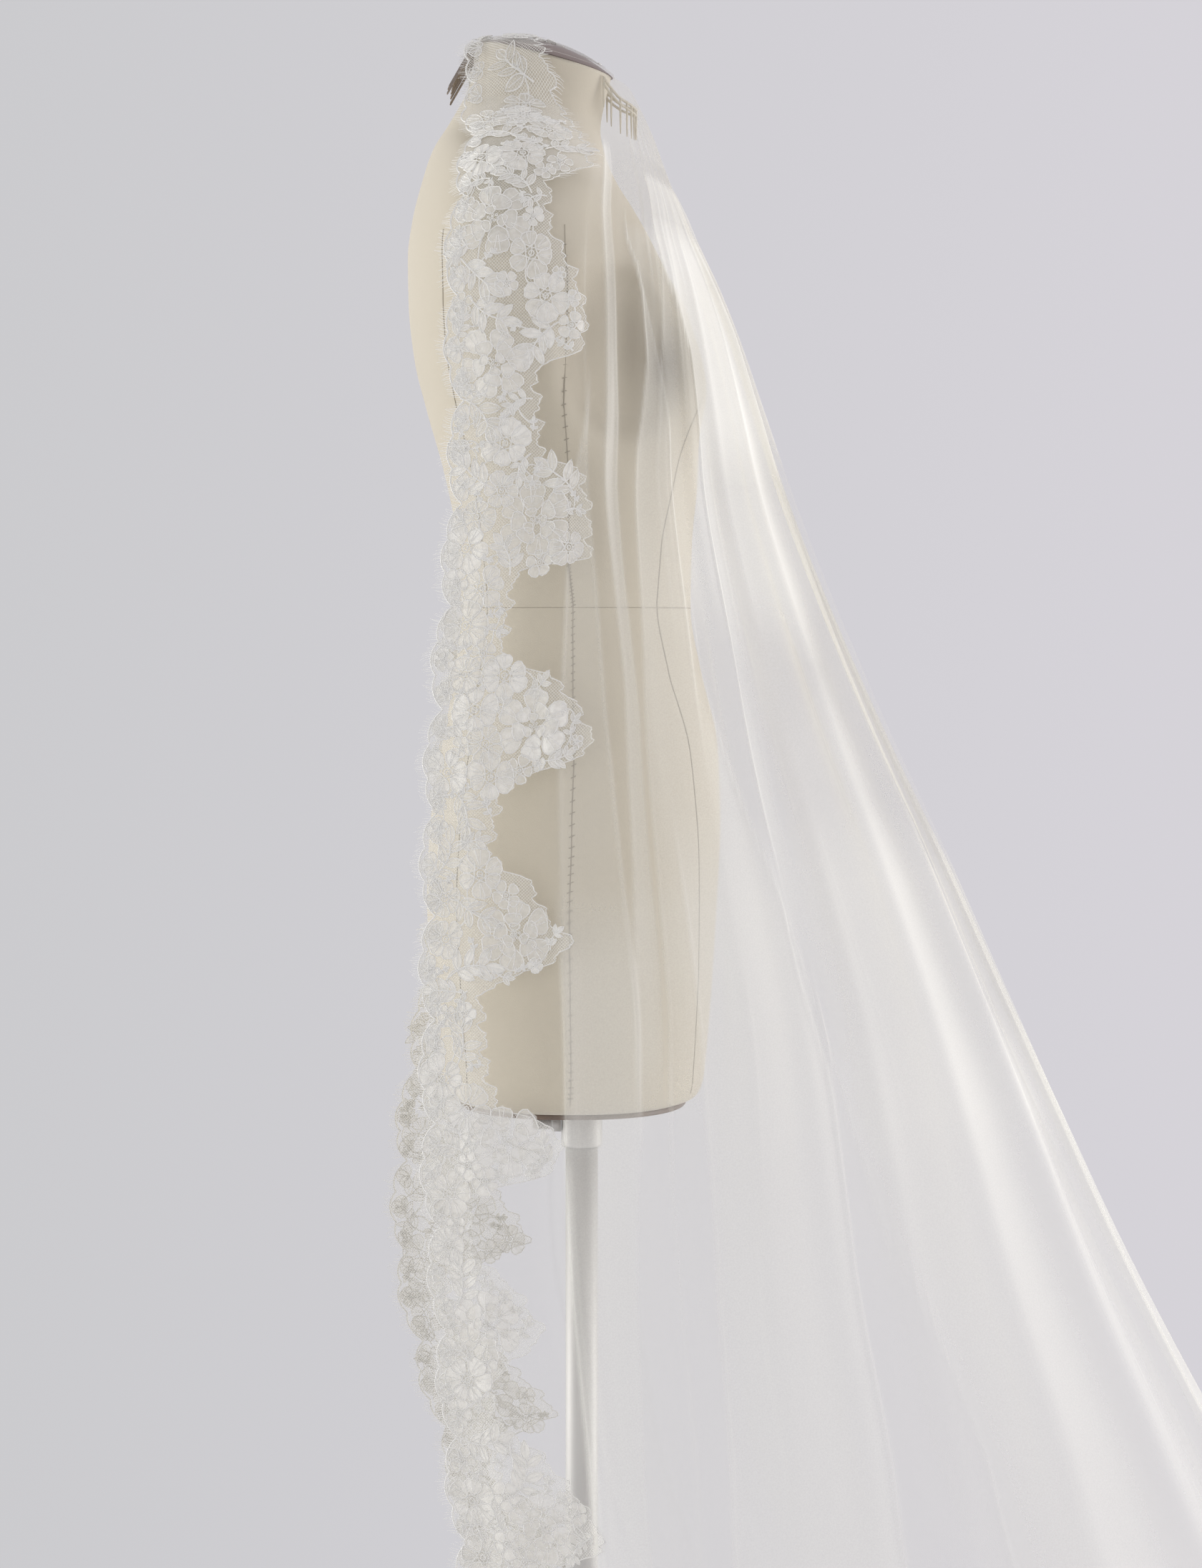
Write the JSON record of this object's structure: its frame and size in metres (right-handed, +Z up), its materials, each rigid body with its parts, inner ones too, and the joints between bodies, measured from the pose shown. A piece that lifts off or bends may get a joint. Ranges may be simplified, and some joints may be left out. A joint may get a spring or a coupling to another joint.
{
  "type": "bridal veil on dress form",
  "caption": "Cathedral-train tulle veil with a floral lace edging, draped over the neck cap of a limbless dress form on a round-based pole stand.",
  "frame": {"origin": "on the floor at the pole's axis, in the middle of the base plate's underside", "axes": "+Z up the pole; +X towards the train, which is the side the form's chest faces; -X is the open side of the veil"},
  "size_m": [1.5886, 1.0895, 1.4954],
  "materials": {
    "tulle": "sheer ivory tulle",
    "lace": "corded floral lace",
    "form_cloth": "cream jersey, satin",
    "cap_wood": "dark, polished",
    "board_wood": "plain, matte",
    "steel": "satin",
    "comb_metal": "polished wire",
    "comb_plastic": "clear"
  },
  "bodies": {
    "root": {"veil_tulle": "tulle", "veil_lace_crown": "lace", "veil_lace_near": "lace", "veil_lace_far": "lace", "veil_lace_hem": "lace", "comb_wire": "comb_metal", "comb_clear": "comb_plastic", "dress_form": "form_cloth", "neck_cap": "cap_wood", "form_board": "board_wood", "pole_collar": "steel", "clamp_screw": "steel", "pole": "steel", "base_hub": "steel", "base_plate": "steel"}
  },
  "joints": []
}
